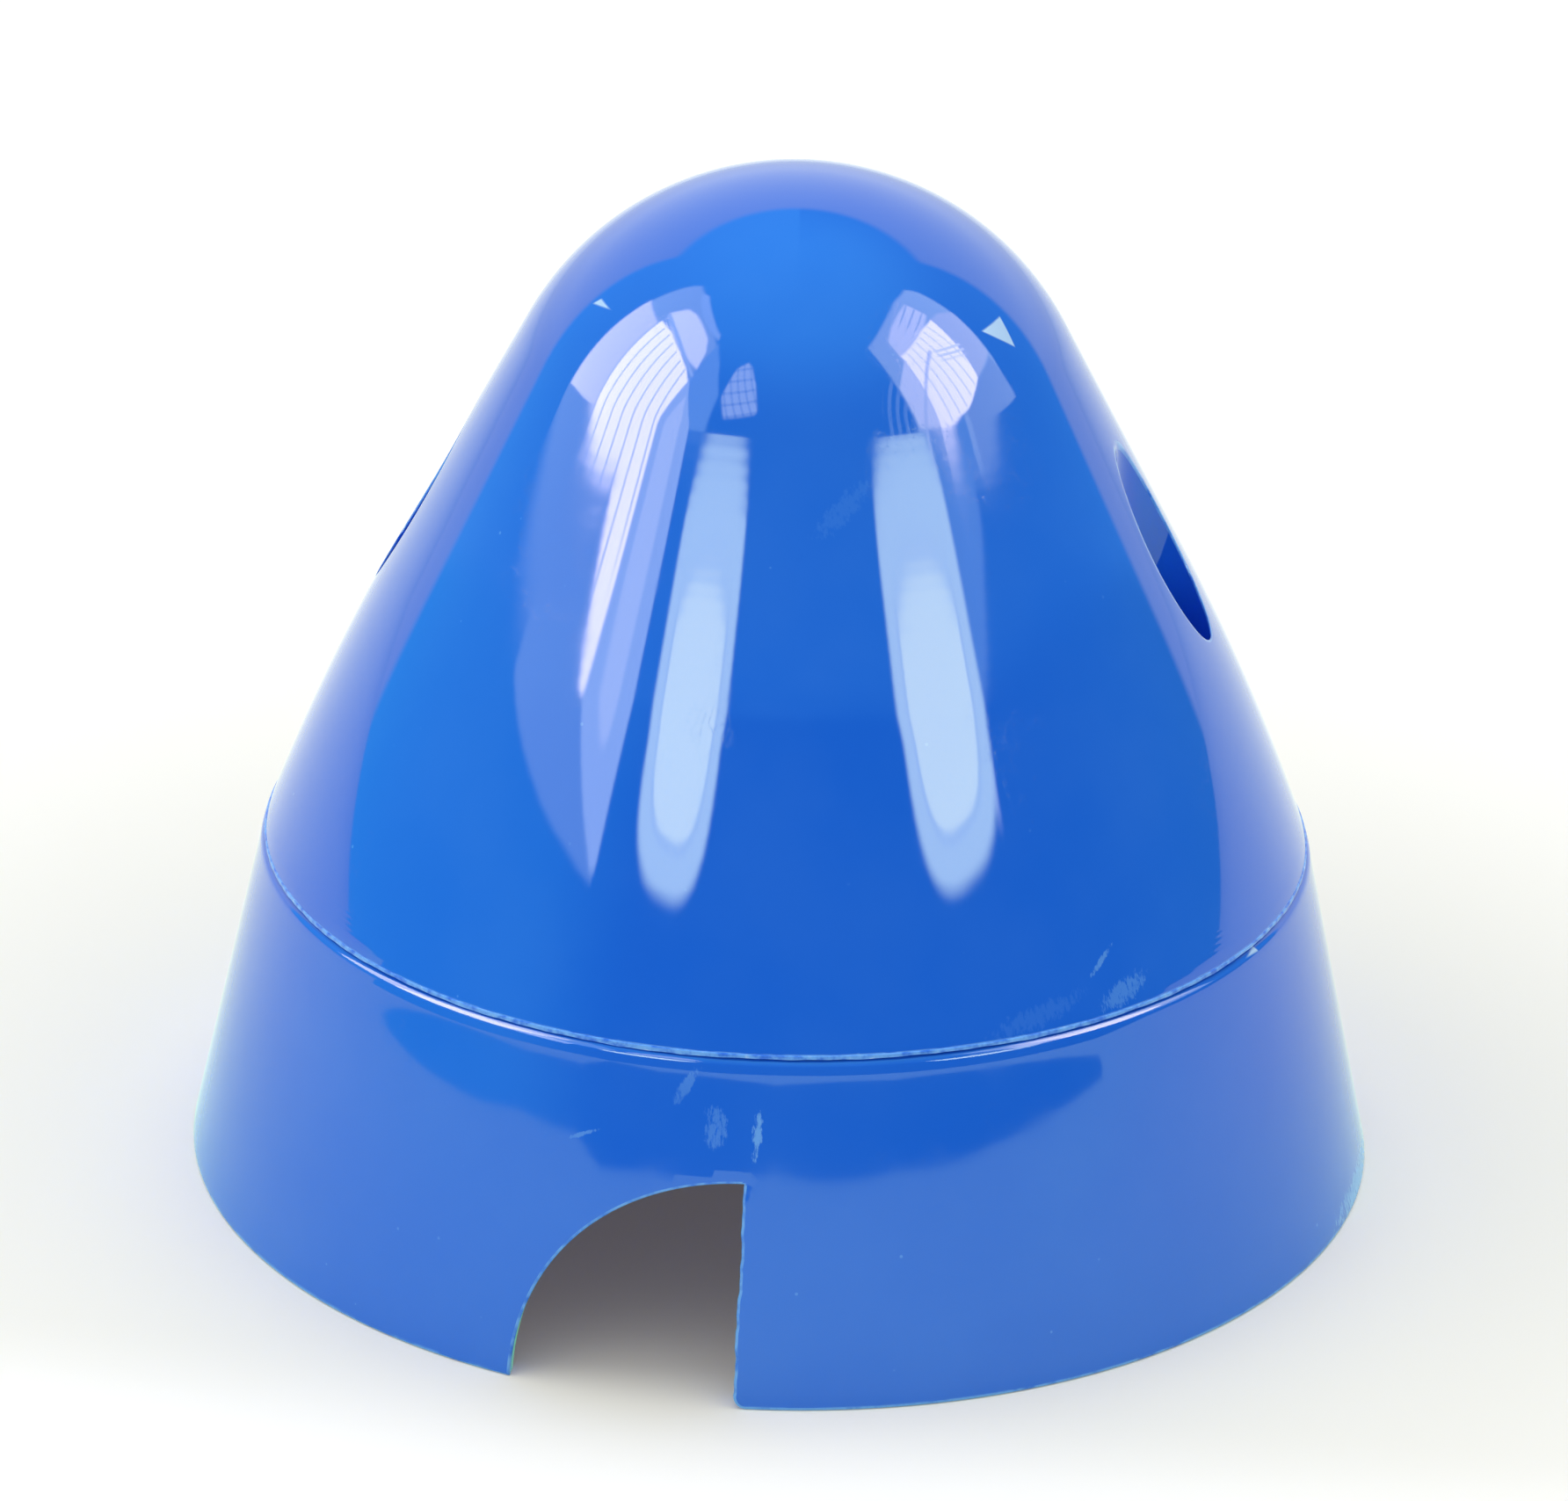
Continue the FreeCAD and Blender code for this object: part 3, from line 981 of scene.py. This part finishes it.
def make_plastic():
    """The polished nylon, with its marks and fine scratches, and painted highlights on its rounded edges,
    the cone's rim and the skirt's foot.
    """
    look = finish()
    material = bpy.data.materials.new("gloss_blue_nylon")
    shader = Shader(material)
    place = shader.place()
    height = shader.part(place, 2)
    seam = skirt_height / MM
    # Grain drawn out along the shaft
    drawn = shader.vector("MULTIPLY", place, (1.0, 1.0, 0.3))
    clouds = shader.patches(place, 0.12, 0.3, 0.7)
    smears = shader.patches(place, 0.35, 0.52, 0.75, 4.0, 0.6)
    tone = shader.mix(clouds * 0.05, look.plastic, look.pale_plastic_and_highlight)
    torn = shader.noise(drawn, 5.0, 3.0, 0.7) * 5.0 - 2.3
    scuffed, chipped = 0.0, 0.0
    for mark in SCUFFS:
        scuffed = scuff_mask(shader, place, torn, mark) + scuffed
    for mark in CHIPS:
        chipped = chip_mask(shader, place, mark) + chipped
    # Pale specks and hair-fine scratches, in patches
    dots = shader.add("ShaderNodeTexVoronoi", {"feature": "F1"}, {"Vector": place, "Scale": 0.55})
    specks = (1 - shader.step(dots, 0.03, 0.055)) * shader.patches(place, 0.3, 0.5, 0.6, 2.0) * 0.45
    hairs = 1 - shader.step(abs(shader.noise(drawn, 1.1, 3.0, 0.6) - 0.5), 0.0, 0.0045)
    hairs = hairs * shader.patches(place, 0.16, 0.56, 0.68, 2.0)
    # Painted highlights: pale paint in patches on the rounded mould edges, along the cone's rim over the
    # seam and along the skirt's foot
    edge_highlight = shader.add("ShaderNodeAttribute", {"attribute_name": "edge_highlight"}, None, 2)
    edge_highlight = edge_highlight * shader.patches(place, 1.3, 0.30, 0.62)
    rim = shader.band(height, seam + 0.05, seam + 0.26, 0.03) * shader.patches(place, 0.9, 0.34, 0.6)
    foot = (1 - shader.step(height, 0.10, 0.22)) * shader.patches(place, 0.5, 0.42, 0.56)
    # The pale mix joins these painted highlights with the real specks and scuffs
    pale = edge_highlight * 0.95 + specks + scuffed + rim * 0.65 + foot * 0.7
    tone = shader.mix(pale.math("MINIMUM", 1.0), tone, look.pale_plastic_and_highlight)
    tone = shader.mix(chipped, tone, look.chip_and_glint)
    roughness = smears * 0.02 + hairs * 0.05 + edge_highlight * 0.12 + scuffed * 0.22 + chipped * 0.3 + look.gloss
    # Slow waves of the mould, and the turned lines that it left over the cone's rim
    ripple = shader.noise(place, 0.18, 1.0) * 0.004
    turned = (height * 26.0).math("SINE") * shader.band(height, seam + 0.1, seam + 1.6, 0.05) * 0.00018
    shader.coat(tone, roughness, ripple + turned + hairs * 0.0004)
    return material


def make_flash_plastic():
    """Thin torn nylon. Its pale patches are painted light shining through the thin fin, and its whitish
    patches are painted glints.
    """
    look = finish()
    material = bpy.data.materials.new("torn_flash")
    shader = Shader(material)
    torn = shader.noise(shader.place(), 2.2, 3.0)
    tone = shader.mix(shader.step(torn, 0.3, 0.6), look.plastic, look.pale_plastic_and_highlight)
    # Painted glints: whitish patches on the flash
    tone = shader.mix(shader.step(torn, 0.6, 0.8), tone, look.chip_and_glint)
    shader.coat(tone, torn * 0.2 + look.flash_roughness * 0.7, torn * 0.03)
    return material


def make_plating():
    """Zinc plating with a fine grain, dull in patches."""
    look = finish()
    material = bpy.data.materials.new("zinc_plating")
    shader = Shader(material)
    grain = shader.noise(shader.place(), 3.0, 4.0)
    tone = shader.mix(shader.step(grain, 0.35, 0.75) * 0.35, look.plating, look.plating_dull)
    shader.coat(tone, grain * 0.12 + look.plating_roughness, grain * 0.004, 1.0)
    return material


# Studio


def make_camera():
    view = studio()
    turn, rise, roll = view.camera_turn, view.camera_height, view.camera_roll
    back = Vector((math.sin(turn) * math.cos(rise), -math.cos(turn) * math.cos(rise), math.sin(rise)))
    right = Vector((math.cos(turn), math.sin(turn), 0.0))
    up = back.cross(right)
    rolled_right = right * math.cos(roll) + up * math.sin(roll)
    rolled_up = up * math.cos(roll) - right * math.sin(roll)
    target = right * view.target_side + Vector((0, 0, view.target_height))
    data = bpy.data.cameras.new("studio_camera")
    data.sensor_fit = "HORIZONTAL"
    data.sensor_width = 36.0
    data.lens = view.lens
    data.clip_start = 0.01
    camera = bpy.data.objects.new("studio_camera", data)
    axes = Matrix((rolled_right, rolled_up, back)).transposed()
    camera.matrix_world = Matrix.Translation(target + back * view.camera_distance) @ axes.to_4x4()
    bpy.context.scene.collection.objects.link(camera)
    bpy.context.scene.camera = camera


# Front border of the sheet under the part, in millimetres right of and behind the part
SHEET_FRONT = (
    (-103, -10), (-114, -59), (-124, -106), (-120, -151), (-97, -152), (-84, -193),
    (-4, -264), (83, -208), (102, -167), (115, -141), (125, -100), (127, -66),
)
# Where the front border meets the straight sides, behind the part on the left, ahead on the right
SHEET_SIDE = 40


def make_floor():
    """The pale sheet under the part. It is darker by the part as painted shade. It glows as painted light
    under, beside and ahead of the part, and carries a painted reflection tint that only the gloss sees.
    """
    view = studio()
    drop = 0.01 * MM
    reach = view.floor_reach
    side = SHEET_SIDE * MM
    outline = [(x * MM, y * MM) for x, y in SHEET_FRONT]
    outline += [(reach, -side), (reach, reach), (-reach, reach), (-reach, side)]
    spin = Matrix.Rotation(view.camera_turn, 2)
    corners = [(*(spin @ Vector(corner)), -drop) for corner in outline]
    mesh = bpy.data.meshes.new("studio_floor")
    mesh.from_pydata(corners, [], [tuple(range(len(corners)))])
    floor = bpy.data.objects.new("studio_floor", mesh)
    bpy.context.scene.collection.objects.link(floor)
    material = bpy.data.materials.new("pale_floor")
    shader = Shader(material)
    place = shader.place()
    distance = shader.vector("LENGTH", place, output=1)
    forward = -shader.part(place, 1)
    # Painted shade: the floor is darker and bluer by the part, and lighter further off
    tone = shader.mix(shader.step(distance, 32.0, 74.0), view.floor_near_shade, view.floor_far)
    # Painted light: glow of the floor under the part, fainter beside it and stronger ahead of it
    glow = shader.mix(shader.step(distance, 24.0, 34.0), view.painted_glow_under, view.painted_glow_beside)
    glow = shader.mix(shader.step(forward, 25.0, 38.0), glow, view.painted_glow_ahead)
    # Painted reflection: a tint of the floor that only glossy rays see
    mirrored = shader.mix(shader.step(forward, -30.0, 60.0), view.painted_reflection_behind, view.painted_reflection_ahead)
    shader.surface(shader.add("ShaderNodeBsdfPrincipled", None, {
        "Base Color": tone,
        "Roughness": 1.0,
        "Specular IOR Level": 0.0,
        "Emission Color": shader.mix(shader.ray("Glossy"), glow, mirrored),
        "Emission Strength": 1.0,
    }))
    mesh.materials.append(material)


def make_overhead_lamp():
    """A broad soft lamp over the part and a little behind it, which the gloss doesn't mirror."""
    data = bpy.data.lights.new("overhead_lamp", "AREA")
    data.shape = "DISK"
    data.size = 0.9
    data.energy = studio().key
    place, target = Vector((0.0, 0.25, 1.0)), Vector((0.0, 0.0, 0.02))
    aim = (place - target).to_track_quat("Z", "Y").to_matrix().to_4x4()
    lamp = bpy.data.objects.new("overhead_lamp", data)
    lamp.matrix_world = Matrix.Translation(place) @ aim
    lamp.visible_glossy = False
    bpy.context.scene.collection.objects.link(lamp)


def make_world():
    """The even light with daylight from both sides, and the room that only the gloss mirrors."""
    view = studio()
    world = bpy.data.worlds.new("studio_room")
    bpy.context.scene.world = world
    shader = Shader(world)
    direction = shader.add("ShaderNodeTexCoord", None, None, "Generated")
    turned = shader.add(
        "ShaderNodeVectorRotate", {"rotation_type": "Z_AXIS"},
        {"Vector": direction, "Angle": -view.camera_turn},
    )
    light = (view.fill,) * 3
    for side, strength in ((-0.80, view.window_left), (0.80, view.window_right)):
        facing = shader.vector("DOT_PRODUCT", turned, (side, -0.14, 0.57), 1).math("MAXIMUM", 0.0)
        glow = shader.mix(facing ** 4.0, (0.0, 0.0, 0.0), (strength,) * 3)
        light = shader.vector("ADD", light, glow)
    light = shader.mix(shader.ray("Camera"), light, (1.0, 1.0, 1.0))
    tone = room_tone(Room(shader, turned), view.surround)
    even = shader.add("ShaderNodeBackground", None, {"Color": light, "Strength": 1.0})
    mirrored = shader.add("ShaderNodeBackground", None, {"Color": tone, "Strength": 1.0})
    both = shader.add("ShaderNodeMixShader", None, {0: shader.ray("Glossy"), 1: even, 2: mirrored})
    shader.add("ShaderNodeOutputWorld", None, {"Surface": both})


class Room:
    """Directions in the mirrored room, in degrees, and the panes that it is made of.

    The azimuth is 0 at the camera's side and grows to its right. The room's dark lower part
    ends where the flank is 0, on a line that falls off to both sides.
    """

    def __init__(self, shader, turned):
        across, depth, up = (shader.part(turned, axis) for axis in range(3))
        degree = 180 / math.pi
        self.shader = shader
        self.azimuth = across.math("ARCTAN2", -depth) * degree
        self.height = up.math("ARCSINE") * degree
        self.flank = self.height + self.azimuth * self.azimuth * 0.0018 - 32.3

    def pane(self, corners, soft, tone, factor=1.0):
        """Mask and tone of a pane with straight borders."""
        return self.shader.convex(self.azimuth, self.height, corners, soft) * factor, tone

    def over_either(self, first, second, soft):
        """1 over the lower of two lines."""
        under_first = 1 - self.shader.step(self.height - first, -soft, soft)
        under_second = 1 - self.shader.step(self.height - second, -soft, soft)
        return 1 - under_first * under_second


def stripes(value, spacing, share):
    """1 on evenly spaced lines that take up a share of the space."""
    return (value * (2 * math.pi / spacing)).math("COSINE") > math.cos(math.pi * share)


def room_tone(room, surround):
    """Brightness of the room: its walls and ceiling, the white surround behind, and the lights."""
    shader, azimuth, height = room.shader, room.azimuth, room.height
    low = shader.mix(shader.step(azimuth, 50.0, 110.0), (0.03, 0.05, 0.03), (0.09, 0.3, 0.12))
    low = shader.mix(shader.step(azimuth, -30.0, -62.0), low, (0.15, 1.0, 1.5))
    high = shader.mix(shader.step(height, 36.0, 76.0), (0.15, 0.6, 1.0), (0.42, 1.9, 3.0))
    high = shader.mix(shader.step(azimuth, -20.0, -100.0) * 0.3, high, (0.54, 2.3, 3.7))
    tone = shader.mix(shader.step(room.flank, -1.15, -0.65), low, high)
    behind = shader.step(abs(azimuth) - (height - 10.0) * 0.2, 125.5, 129.0)
    white = behind * (1 - shader.step(height, 44.0, 48.0))
    low_pale = tuple(surround * share for share in (0.88, 0.9, 0.75))
    high_pale = tuple(surround * share for share in (1.14, 1.16, 0.92))
    tone = shader.mix(white, tone, shader.mix(shader.step(height, 0.0, 12.0), low_pale, high_pale))
    for mask, brightness in left_panes(room) + right_panes(room) + soft_lights(room):
        tone = shader.mix(mask, tone, brightness)
    return tone


def left_panes(room):
    """Masks and tones of the left window and its sill, from back to front."""
    shader, azimuth, height = room.shader, room.azimuth, room.height
    sill = room.over_either(azimuth * 0.278 + 43.4, azimuth * 0.07 + 28.45, 0.12)
    foot = room.over_either(azimuth * 0.283 + 42.4, azimuth * 0.003 + 18.4, 0.3)
    fan = azimuth + (azimuth + 57.0) * (46.0 - height) * 0.0052
    slats = stripes(fan + 96.4, 5.6, 0.16)
    bend = height + (azimuth + 88.0) * (azimuth + 88.0) * 0.006
    grid = (stripes(azimuth + height * 0.75, 4.3, 0.3) + stripes(height - azimuth * 0.3, 4.6, 0.22)) * 0.3
    return [
        # The glow under the sill, the frame, the line over its head and its right-hand side
        room.pane([(-107.5, 8), (-46.8, 8), (-46.4, 33), (-107.5, 33)], 0.4, (1.95, 2.85, 3.1), foot),
        room.pane(
            [(-108, 8), (-56, 8), (-56, 57), (-75, 62.3), (-95, 62.8), (-111, 60), (-114, 52), (-111, 40)],
            1.0, (3.1, 4.2, 4.1), sill,
        ),
        room.pane([(-104, 60.6), (-60, 59.2), (-62, 61), (-80, 62.8), (-100, 63)], 0.7, (3.6, 4.9, 5.6)),
        room.pane(
            [(-58, 20), (-39, 20), (-39.5, 43), (-48, 53), (-58, 58.5)],
            1.0, (1.9, 3.3, 4.2), shader.step(room.flank, 0.8, 1.5),
        ),
        # The left and upper sashes, with a bent line between
        room.pane([(-106.2, 8), (-88.4, 8), (-96.8, 46), (-111.8, 43.8)], 0.7, (9.4, 9.1, 8.8), sill),
        room.pane(
            [(-98.5, 50.2), (-57.5, 47.3), (-60, 53.5), (-66, 57.2), (-76, 58.7), (-88, 58.4), (-95, 56.2)],
            0.8, (10.7, 10.5, 10.2),
        ),
        (shader.band(bend, 49.7, 51.0, 0.5) * shader.band(azimuth, -98, -57, 1.0), (5.0, 6.2, 6.6)),
        # The lit edge at the right, and its brighter middle
        room.pane(
            [(-62.5, 24.6), (-57, 22.3), (-47.6, 18.7), (-46.3, 19), (-46.3, 29.5), (-54, 39.5), (-58, 44)],
            0.4, (5.2, 6.4, 6.8),
        ),
        room.pane([(-58, 26), (-52.5, 24), (-50.8, 24.5), (-50.5, 30), (-54, 38)], 0.5, (7.4, 8.2, 8.0)),
        # The glass, and the slats in front of it
        room.pane(
            [(-88.2, 8), (-64, 8), (-60.8, 25), (-57.2, 28.5), (-57.2, 42), (-62, 45.3), (-72, 48),
             (-86, 49.2), (-96.5, 47.4)],
            0.5, (19.0, 17.2, 16.5), sill,
        ),
        room.pane(
            [(-87.6, 8), (-64, 8), (-61.5, 26), (-58.2, 29), (-58.2, 44), (-72, 47), (-86, 48.4),
             (-95.5, 47)],
            0.4, (9.6, 9.8, 10.8), slats * sill,
        ),
        # A small pane with a grid, nearer the middle
        room.pane(
            [(-33, 35.5), (-19, 39.5), (-18.3, 41), (-22.5, 50.5), (-28.5, 56.5), (-32, 57.5), (-37, 54),
             (-38, 43)],
            0.8, (4.9, 5.8, 5.8), 1 - grid,
        ),
    ]


def right_panes(room):
    """Masks and tones of the right window, from back to front."""
    shader, azimuth, height = room.shader, room.azimuth, room.height
    across, up = azimuth - 88.0, height - 11.0
    ring = (across * across + up * up) ** 0.5
    near, rise = azimuth - 64.0, height - 27.0
    arcs = (near * near + rise * rise) ** 0.5
    slats = stripes(azimuth - height * 0.05, 4.6, 0.16)
    sill = room.over_either(azimuth * -0.277 + 43.4, azimuth * -0.13 + 32.7, 0.15)
    ripples = stripes(height + across * across * 0.004, 2.6, 0.24) * shader.step(azimuth, 78.0, 92.0)
    return [
        # The arcs beside the window, its frame, and the dim wall under it
        room.pane(
            [(41, 30), (53.5, 28), (53.5, 47), (48, 45), (42, 38)],
            1.5, (1.5, 2.3, 2.6), stripes(arcs, 3.6, 0.45),
        ),
        room.pane(
            [(54.5, 8), (100, 8), (103.8, 20), (110.3, 38), (115, 50), (113, 56.5), (101, 60.5), (85, 61.9),
             (70, 61.6), (53.5, 59.6)],
            0.8, (3.8, 4.8, 4.7), sill,
        ),
        room.pane([(53, 20), (76, 20), (76, 26), (53, 28)], 0.6, (1.5, 2.6, 3.2), sill),
        # The upper sash with its ripples, and the sashes at the left, at the right and below
        room.pane(
            [(66, 50), (101, 50), (101.5, 57), (92, 58.9), (78, 59.2), (68, 57)],
            0.8, (8.8, 8.6, 8.2),
        ),
        room.pane([(66, 51), (101, 51), (101, 60), (66, 60)], 1.0, (4.8, 5.4, 5.3), ripples),
        room.pane([(55, 28.6), (64.3, 25.8), (66.4, 49), (60, 46), (54.6, 42.3)], 0.6, (8.8, 8.8, 8.4)),
        room.pane(
            [(92.3, 28), (105.3, 28), (110.8, 41.5), (106, 46.3), (99.4, 48.6)],
            0.7, (5.8, 6.0, 5.6),
        ),
        room.pane([(80, 8), (103, 8), (104.5, 27.5), (92, 27.9), (78, 24)], 0.7, (2.7, 3.4, 3.4), sill),
        # The glass, the slats in front of it, a ribbed corner and the edge of a round shade
        room.pane(
            [(64.3, 25.7), (70, 24.4), (80, 24.2), (92.5, 28.2), (99.6, 48.4), (90, 50.4), (67, 50.8)],
            0.5, (17.2, 15.4, 14.5),
        ),
        room.pane(
            [(66, 26), (70, 25), (80, 24.8), (92, 28.6), (98.5, 48), (90, 50), (68, 50.2)],
            0.6, (11.0, 10.8, 11.0), slats,
        ),
        room.pane(
            [(83.5, 40), (97, 34.5), (98, 39), (84, 45)],
            0.8, (10.5, 10.5, 10.5), stripes(height + azimuth * 0.45, 1.9, 0.45),
        ),
        room.pane(
            [(54.5, 20), (83, 20), (83, 47), (54.5, 47)],
            1.0, (6.0, 6.6, 6.8), shader.band(ring, 33.6, 35.0, 0.5) * 0.75,
        ),
    ]


# Soft lights in degrees: azimuth and height of the middle, half width, and depth to the foot
SOFT_LIGHTS = ((-29.3, 31.0, 10.4, 10.7), (45.3, 29.5, 12.6, 10.5))


def soft_lights(room):
    """Masks and tones of the two soft lights, each a shell round a brighter core."""
    shader, azimuth, height, flank = room.shader, room.azimuth, room.height, room.flank
    # The lights widen a little towards the room's dark lower part
    widen = shader.step(flank, -3.0, 1.0) * -0.12 + 1
    panes = []
    for middle, base, width, drop in SOFT_LIGHTS:
        reach = abs(azimuth - middle) / width * widen
        depth = abs(height - base) / drop
        far = (reach ** 3 + depth ** 3) ** (1 / 3)
        crown = flank + reach ** 3 * 1.1
        top = flank + reach ** 4 * 0.65
        shell = (1 - shader.step(far, 0.93, 1.05)) * (1 - shader.step(top, 0.95, 1.4))
        inside = (1 - shader.step(far, 0.76, 0.80)) * (1 - shader.step(crown, 0.1, 0.5))
        core = (1 - shader.step(far, 0.70, 0.74)) * (1 - shader.step(crown, -0.1, 0.2))
        panes += [
            (shell, (8.0, 10.2, 7.8)),
            (inside, (7.2, 9.2, 7.6)),
            (core, (11.8, 13.8, 8.9)),
        ]
    return panes


# Operators


class SPINNER_OT_nose_cone(bpy.types.Operator):
    """Mould the nose cone with its two screw wells"""

    bl_idname = "spinner.nose_cone"
    bl_label = "Nose cone"

    def execute(self, context):
        dress(make_cone_mesh(), make_plastic(), PLASTIC_SLOT, "nose_cone")
        return {"FINISHED"}


class SPINNER_OT_rear_skirt(bpy.types.Operator):
    """Mould the rear skirt with its blade cut-outs"""

    bl_idname = "spinner.rear_skirt"
    bl_label = "Rear skirt"

    def execute(self, context):
        dress(make_skirt_mesh(), make_plastic(), PLASTIC_SLOT, "rear_skirt")
        return {"FINISHED"}


class SPINNER_OT_flash(bpy.types.Operator):
    """Add the thin flash that the moulds left"""

    bl_idname = "spinner.flash"
    bl_label = "Flash"

    def execute(self, context):
        dress(make_seam_flash(), make_flash_plastic(), PLASTIC_SLOT)
        return {"FINISHED"}


class SPINNER_OT_screws(bpy.types.Operator):
    """Give the two screws their plated finish"""

    bl_idname = "spinner.screws"
    bl_label = "Screws"

    def execute(self, context):
        plating = make_plating()
        for name in SCREWS:
            screw = frame["nodes"][name]
            screw.data.materials.clear()
            screw.data.materials.append(plating)
        return {"FINISHED"}


class SPINNER_OT_studio(bpy.types.Operator):
    """Set up the floor, the lights, the mirrored room and the camera"""

    bl_idname = "spinner.studio"
    bl_label = "Studio"

    def execute(self, context):
        context.scene.view_settings.view_transform = "Standard"
        make_floor()
        make_world()
        make_overhead_lamp()
        make_camera()
        return {"FINISHED"}


class SPINNER_PT_pieces(bpy.types.Panel):
    """Lists the steps that build the spinner"""

    bl_label = "Propeller spinner"
    bl_idname = "SPINNER_PT_pieces"
    bl_space_type = "VIEW_3D"
    bl_region_type = "UI"
    bl_category = "Spinner"

    def draw(self, context):
        for operator in OPERATORS:
            self.layout.operator(operator.bl_idname)
        for group in (sizes(), finish(), studio()):
            box = self.layout.box()
            for name in group.__annotations__:
                box.prop(group, name)


GROUPS = {
    "spinner_sizes": SpinnerSizes,
    "spinner_finish": SpinnerFinish,
    "spinner_studio": SpinnerStudio,
}
OPERATORS = (
    SPINNER_OT_nose_cone,
    SPINNER_OT_rear_skirt,
    SPINNER_OT_flash,
    SPINNER_OT_screws,
    SPINNER_OT_studio,
)


def register():
    for name, group in GROUPS.items():
        bpy.utils.register_class(group)
        setattr(bpy.types.Scene, name, PointerProperty(type=group))
    for item in OPERATORS + (SPINNER_PT_pieces,):
        bpy.utils.register_class(item)


def unregister():
    for item in reversed(OPERATORS + (SPINNER_PT_pieces,)):
        bpy.utils.unregister_class(item)
    for name, group in GROUPS.items():
        delattr(bpy.types.Scene, name)
        bpy.utils.unregister_class(group)


def main():
    register()
    bpy.ops.spinner.nose_cone()
    bpy.ops.spinner.rear_skirt()
    bpy.ops.spinner.flash()
    bpy.ops.spinner.screws()
    bpy.ops.spinner.studio()


if __name__ == "__main__":
    main()
